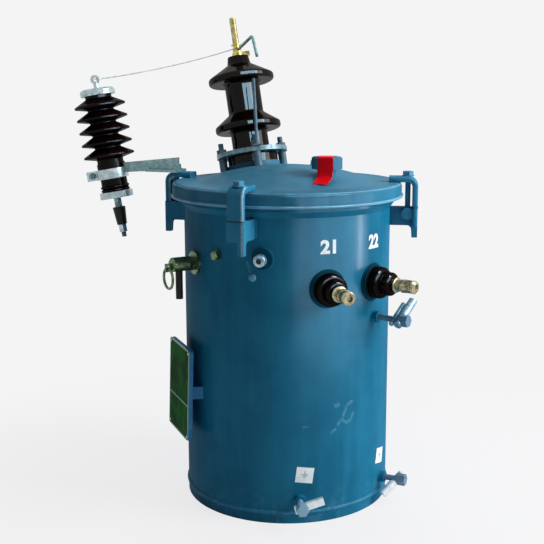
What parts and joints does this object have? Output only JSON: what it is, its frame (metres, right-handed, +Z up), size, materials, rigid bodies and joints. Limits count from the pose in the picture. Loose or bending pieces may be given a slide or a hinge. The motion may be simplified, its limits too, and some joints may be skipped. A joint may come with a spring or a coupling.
{
  "type": "pole-mounted distribution transformer",
  "caption": "Round oil-filled distribution transformer with a domed clamped lid, a leaning porcelain bushing, side terminals and a surge arrester on an arm.",
  "frame": {"origin": "on the tank's axis at the floor that the tank stands on", "axes": "+Z up along the tank's axis, -Y to the front with the low-voltage terminals, +Y to the back with the hanger brackets, +X to the right seen from the front"},
  "size_m": [0.5285, 0.6979, 0.9819],
  "materials": {
    "tank_paint": "gloss blue enamel",
    "lid_paint": "gloss blue enamel",
    "gasket": "black oil-proof rubber",
    "porcelain": "dark brown glaze",
    "arrester_glaze": "dark brown glaze",
    "galvanised": "hot-dip zinc",
    "lead_wire": "bare wire",
    "brass": "plain machined",
    "black_plastic": "black",
    "red_strip": "red",
    "tinned": "bright tin plating",
    "plate_metal": "bare sheet"
  },
  "bodies": {
    "root": {"arrester_arm": "galvanised", "arrester_band": "galvanised", "arrester_bottom_cap": "galvanised", "arrester_disconnector": "black_plastic", "arrester_ground_nut": "galvanised", "arrester_ground_stud": "galvanised", "arrester_housing": "arrester_glaze", "arrester_lead": "lead_wire", "arrester_top_cap": "galvanised", "clamp_bolts": "lid_paint", "clamp_bracket_front_left": "tank_paint", "clamp_bracket_front_right": "tank_paint", "clamp_bracket_rear_left": "tank_paint", "clamp_bracket_rear_right": "tank_paint", "clamp_jaw_front_left": "lid_paint", "clamp_jaw_front_right": "lid_paint", "clamp_jaw_rear_left": "lid_paint", "clamp_jaw_rear_right": "lid_paint", "filler_cap": "lid_paint", "filler_neck": "lid_paint", "ground_bosses": "tank_paint", "ground_clamp_left": "tinned", "ground_clamp_neutral": "tinned", "ground_clamp_right": "tinned", "hanger_lower": "tank_paint", "hanger_upper": "tank_paint", "hv_boss": "lid_paint", "hv_bushing": "porcelain", "hv_clamp_ring": "galvanised", "hv_studs": "galvanised", "hv_terminal": "brass", "level_plug": "brass", "lid": "lid_paint", "lid_gasket": "gasket", "lower_arcing_horn": "galvanised", "lv_bosses": "tank_paint", "lv_bushing_left": "porcelain", "lv_bushing_right": "porcelain", "lv_terminal_left": "brass", "lv_terminal_right": "brass", "name_plate": "plate_metal", "name_plate_backing": "tank_paint", "relief_ring": "galvanised", "relief_tube": "black_plastic", "relief_valve": "brass", "seal_strip": "red_strip", "tank_floor": "tank_paint", "tank_top_flange": "tank_paint", "tank_wall": "tank_paint", "tap_knob": "tinned", "tap_knob_seat": "tank_paint", "upper_arcing_horn": "galvanised"}
  },
  "joints": []
}
